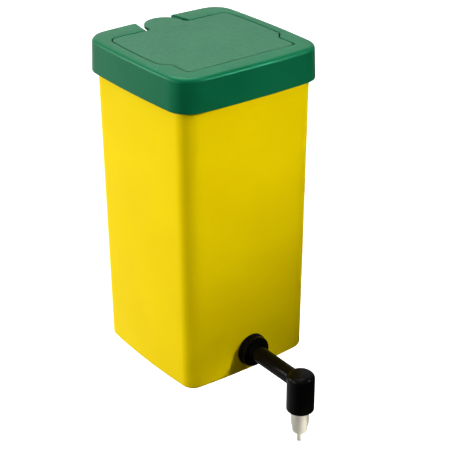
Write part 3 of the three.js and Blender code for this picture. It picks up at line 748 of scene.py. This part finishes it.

# %% [markdown]
# ## Lid green and flap green
# Lid and flap are the same green plastic from two moulds. The lid's mould is polished, so the lid is
# deep and glossy, and its reflections are tinted green. The flap's mould is spark-eroded, so its
# face is matt, and a matt face scatters white light and looks paler. That takes a finer and deeper
# grain, more roughness and plain white reflections. The flap's colour is also a slightly greyer
# green than the lid's: a painted sheen that stands in for part of that scattered white light.

# %% Lid and flap finishes
lid_green = new_finish("lid_green", 0.34, specular=0.25, tint=(0.1, 0.95, 0.5))
drift = noise(lid_green, 26, detail=2)
coloured(lid_green, (0.0020, 0.108, 0.041), (0.0035, 0.122, 0.049), ranged(lid_green, drift, 0, 1))
dulled(lid_green, ranged(lid_green, noise(lid_green, 7, detail=2), 0.30, 0.38))
grained(lid_green, (noise(lid_green, 5, detail=1), 0.02, 0.2), (noise(lid_green, 1.5, detail=1), 0.004, 0.2))

flap_green = new_finish("flap_green", 0.6, specular=0.2)
drift = noise(flap_green, 22, detail=3)
# The flap's own green, made greyer and paler than the lid's as a painted sheen for the white light that its
# matt face scatters.
coloured(flap_green, (0.020, 0.124, 0.060), (0.025, 0.137, 0.068), ranged(flap_green, drift, 0, 1))
dulled(flap_green, ranged(flap_green, noise(flap_green, 2.2, detail=5), 0.52, 0.68))
grained(flap_green, (noise(flap_green, 0.5, detail=4), 0.03, 0.5), (noise(flap_green, 0.16), 0.01, 0.4))

# %% [markdown]
# ## Black plastic and black rubber
# The elbow is a hard, smooth black that shows small, faint highlights. The grommet beside it is
# rubber: a shade lighter, dull, with a fine bloom on its surface. Both reflect very little, because
# a black with ordinary reflections would look grey in a white room.

# %% Black finishes
elbow_black = new_finish("elbow_black", 0.2, specular=0.07)
drift = noise(elbow_black, 7)
coloured(elbow_black, (0.0015, 0.0015, 0.0015), (0.003, 0.0028, 0.0026), ranged(elbow_black, drift, 0, 1))
dulled(elbow_black, ranged(elbow_black, noise(elbow_black, 2.5, detail=5), 0.16, 0.26))
grained(elbow_black, (noise(elbow_black, 2.4), 0.01, 0.15), (noise(elbow_black, 0.5), 0.002, 0.2))

grommet_rubber = new_finish("grommet_rubber", 0.7, specular=0.05)
bloom = ranged(grommet_rubber, noise(grommet_rubber, 1.4, detail=6), 0, 1, 0.45, 0.75)
coloured(grommet_rubber, (0.002, 0.002, 0.002), (0.005, 0.0046, 0.0042), bloom)
dulled(grommet_rubber, ranged(grommet_rubber, noise(grommet_rubber, 1.1), 0.6, 0.8))
grained(grommet_rubber, (noise(grommet_rubber, 0.35, detail=4), 0.02, 0.5))

# %% [markdown]
# ## Turned stainless steel
# The nipple and its pin come off a lathe, and the tool leaves rings finer than a hair round them. Noise
# that is squeezed along the axis and drawn out across it gives those rings. A soft second noise
# stands for the slightly cloudy look of steel that has been tumbled to take off its burrs. For the
# same look the metal is mixed with a plain, scattering surface: seven parts to three. Pure metal
# would be bright in one place and black in the next.

# %% Steel finish
turned_steel = new_finish("turned_steel", 0.5, metallic=0.7)
rings = noise(turned_steel, 0.12, (400, 400, 1), 2)
cloudy = noise(turned_steel, 1.6, detail=5)
coloured(turned_steel, (0.60, 0.58, 0.49), (0.67, 0.65, 0.55), ranged(turned_steel, cloudy, 0, 1))
dulled(turned_steel, ranged(turned_steel, cloudy, 0.42, 0.56))
grained(turned_steel, (rings, 0.012, 0.35), (noise(turned_steel, 0.2), 0.004, 0.3))

# %% [markdown]
# ## Finishes inside the valve
# The washer is red-brown nitrile rubber, the follower and the cap are white acetal, which is waxy and
# slightly uneven, and the O-ring is the same black rubber as the grommet.

# %% Washer and acetal finishes
washer_rubber = new_finish("washer_rubber", 0.7, specular=0.4)
drift = noise(washer_rubber, 0.9)
coloured(washer_rubber, (0.20, 0.030, 0.018), (0.27, 0.045, 0.028), ranged(washer_rubber, drift, 0, 1))
grained(washer_rubber, (noise(washer_rubber, 0.2, detail=4), 0.01, 0.4))

white_acetal = new_finish("white_acetal", 0.45, specular=0.4)
drift = noise(white_acetal, 1.5)
coloured(white_acetal, (0.76, 0.74, 0.68), (0.84, 0.82, 0.77), ranged(white_acetal, drift, 0, 1))
grained(white_acetal, (noise(white_acetal, 0.3, detail=4), 0.006, 0.4))

# %% [markdown]
# ## Dressing the parts
# Each piece is listed with its finish, the imported part it stands for, the body it moves with, and
# the slot of the record that its finish belongs to. It gets its finish and its body, and the imported
# part is hidden. It could be done piece by piece, but a list keeps the four facts side by side, where a
# slip is easy to see.

# %% What each piece is
dressing = [
    (tank_body, "tank", "tank", "tank_plastic", tank_yellow),
    (lid_cap, "lid", "lid", "lid_plastic", lid_green),
    (fill_flap, "filler_flap", "filler_flap", "flap_plastic", flap_green),
    (grommet_bush, "spout_grommet", "tank", "black_rubber", grommet_rubber),
    (spout_elbow, "elbow_spout", "elbow_spout", "black_plastic", elbow_black),
    (nipple_tube, "nipple_body", "elbow_spout", "stainless_steel", turned_steel),
    (barrel_ring, "nipple_o_ring", "elbow_spout", "black_rubber", grommet_rubber),
    (seal_washer, "valve_seal", "valve_seal", "seal_rubber", washer_rubber),
    (pin_stem, "trigger_pin", "trigger_pin", "stainless_steel", turned_steel),
    (follower, "spring_button", "spring_button", "white_plastic", white_acetal),
    (valve_coil, "valve_spring", "elbow_spout", "stainless_steel", turned_steel),
    (retaining_cap, "spring_cap", "elbow_spout", "white_plastic", white_acetal),
]
for piece, node, body, slot, finish in dressing:
    piece.data.materials.clear()
    piece.data.materials.append(finish)
    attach(piece, body)
    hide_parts(node)
    print(f"{piece.name} stands for {node} on {body}")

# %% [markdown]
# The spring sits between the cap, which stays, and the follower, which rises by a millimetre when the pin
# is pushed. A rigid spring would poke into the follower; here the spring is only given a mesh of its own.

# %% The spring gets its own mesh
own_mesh(valve_coil)

# %% [markdown]
# ## Camera
# The camera looks down on the corner between the spout's side and the plain side, through a long
# lens, so the tank's upright edges stay nearly parallel. We could aim it with a Track To constraint,
# but that holds the camera exactly level, and this one leans by a quarter of a degree. So its right,
# its up and its back are worked out from three angles, and its place is measured along them from a
# point on the tank's axis.

# %% Camera
azimuth, elevation, roll = (math.radians(degrees) for degrees in (-37.034, 27.011, -0.246))
level, plumb = Vector((math.cos(azimuth), math.sin(azimuth), 0)), Vector((0, 0, 1))
back = math.cos(elevation) * level.cross(plumb) + math.sin(elevation) * plumb
right = math.cos(roll) * level + math.sin(roll) * back.cross(level)
up = back.cross(right)
lens = bpy.data.cameras.new("drinker_camera")
lens.lens, lens.sensor_width = 104.65, 36
lens.clip_start, lens.clip_end = 0.05, 60
AIM_HEIGHT, SIDE_STEP, DISTANCE = 0.07553, 0.01154, 0.74333
camera = bpy.data.objects.new("drinker_camera", lens)
place = Vector((0, 0, AIM_HEIGHT)) + SIDE_STEP * right + DISTANCE * back
camera.matrix_world = Matrix((right, up, back)).transposed().to_4x4()
camera.location = place
scene.collection.objects.link(camera)
scene.camera = camera
print("camera at", [round(v, 3) for v in place])

# %% [markdown]
# ## Light
# Glossy plastic shows the room as much as itself, so the light is planned as a room. Two softboxes on
# the left, the broad one beside the tank and the small one behind it, make the plain side the bright
# one, and a large one overhead lights the lid. On the spout's side three small lamps do one thing
# each: one with a narrow beam lifts the tank's upper part, one with a very narrow beam, low down,
# reaches the spout and the nipple, and one high above draws the edge of the housing. A narrow beam
# keeps all its power in its cone, so those lamps need very little. Of all six only that weak edge
# lamp faces the rounded front corner, so a darker band runs down it.

# %% Softboxes
def softbox(name, where, aim, size, power, spread=180):
    """A square area light of size metres a side that shines at aim in a cone of spread degrees."""
    light = bpy.data.lights.new(name, "AREA")
    light.size, light.energy, light.spread = size, power, math.radians(spread)
    lamp = bpy.data.objects.new(name, light)
    lamp.location = where
    lamp.rotation_euler = (Vector(where) - Vector(aim)).to_track_quat("Z", "Y").to_euler()
    scene.collection.objects.link(lamp)


softbox("left_softbox", (-1.15, 0.15, 0.35), (0, 0, 0.08), 0.8, 6)
softbox("left_back_softbox", (-0.85, 0.85, 0.32), (0, -0.03, 0.08), 0.35, 5)
softbox("right_softbox", (0.42, -0.62, 0.45), (-0.035, -0.043, 0.13), 0.15, 0.155, spread=25)
softbox("spout_light", (0.10, -0.78, -0.06), (0, -0.087, -0.025), 0.03, 0.009, spread=5)
softbox("edge_light", (-0.18, -0.33, 0.54), (0, -0.087, 0.02), 0.1, 0.15)
softbox("overhead_softbox", (0.1, 0.5, 1.3), (0, 0, 0.1), 0.9, 15)

# %% [markdown]
# The rest of the room is a World that is bright high up at the back, towards the left, and dim behind
# the camera: its strength follows how nearly a direction points to that bright quarter. What the
# camera itself sees of it is plain white.

# %% World
room = bpy.data.worlds.new("studio_room")
room.use_nodes = True
scene.world = room
nodes, links = room.node_tree.nodes, room.node_tree.links
direction, toward = nodes.new("ShaderNodeTexCoord"), nodes.new("ShaderNodeVectorMath")
toward.operation = "DOT_PRODUCT"
toward.inputs[1].default_value = Vector((-0.3, 0.7, 0.4)).normalized()
level_of_light = nodes.new("ShaderNodeMapRange")
for socket, number in [("From Min", -0.3), ("From Max", 0.8),
                       ("To Min", 0.02), ("To Max", 0.9)]:
    level_of_light.inputs[socket].default_value = number
soft_room, white_room = nodes["Background"], nodes.new("ShaderNodeBackground")
for background in (soft_room, white_room):
    background.inputs["Color"].default_value = (1, 1, 1, 1)
white_room.inputs["Strength"].default_value = 1.05
ray, either = nodes.new("ShaderNodeLightPath"), nodes.new("ShaderNodeMixShader")
links.new(direction.outputs["Generated"], toward.inputs[0])
links.new(toward.outputs["Value"], level_of_light.inputs["Value"])
links.new(level_of_light.outputs["Result"], soft_room.inputs["Strength"])
links.new(ray.outputs["Is Camera Ray"], either.inputs["Fac"])
links.new(soft_room.outputs["Background"], either.inputs[1])
links.new(white_room.outputs["Background"], either.inputs[2])
links.new(either.outputs["Shader"], nodes["World Output"].inputs["Surface"])
scene.view_settings.view_transform = "Standard"

# %% [markdown]
# ## Floor
# The drinker hangs on a cage, so the floor lies well below its nipple. It is a plain pale sheet that
# glows faintly, so that it is as white as the room behind it and no horizon shows. It is hidden from
# the light that bounces, because a white floor would otherwise light the tank from below.

# %% Floor
FLOOR_HALF, FLOOR_Z, CELLS = 12, -0.16, 12
line = np.linspace(-FLOOR_HALF, FLOOR_HALF, CELLS + 1)
across, along = np.meshgrid(line, line)
points = np.stack([across, along, 0 * across + FLOOR_Z], -1).reshape(-1, 3)
row, column = np.meshgrid(np.arange(CELLS), np.arange(CELLS), indexing="ij")
corner = (row * (CELLS + 1) + column).ravel()
squares = np.stack([corner, corner + 1, corner + CELLS + 2, corner + CELLS + 1], -1)
sheet = bpy.data.meshes.new("floor")
sheet.from_pydata(points.tolist(), [], squares.tolist())
floor = bpy.data.objects.new("floor", sheet)
scene.collection.objects.link(floor)
floor.visible_diffuse = floor.visible_glossy = False
pale_floor = new_finish("pale_floor", 0.9, specular=0.1)
glow = pale_floor.node_tree.nodes["Principled BSDF"].inputs
glow["Emission Color"].default_value, glow["Emission Strength"].default_value = (1, 1, 1, 1), 0.6
coloured(pale_floor, (0.96, 0.96, 0.96), (0.98, 0.98, 0.98), ranged(pale_floor, noise(pale_floor, 60), 0, 1))
sheet.materials.append(pale_floor)
print("floor", len(sheet.polygons), "faces")
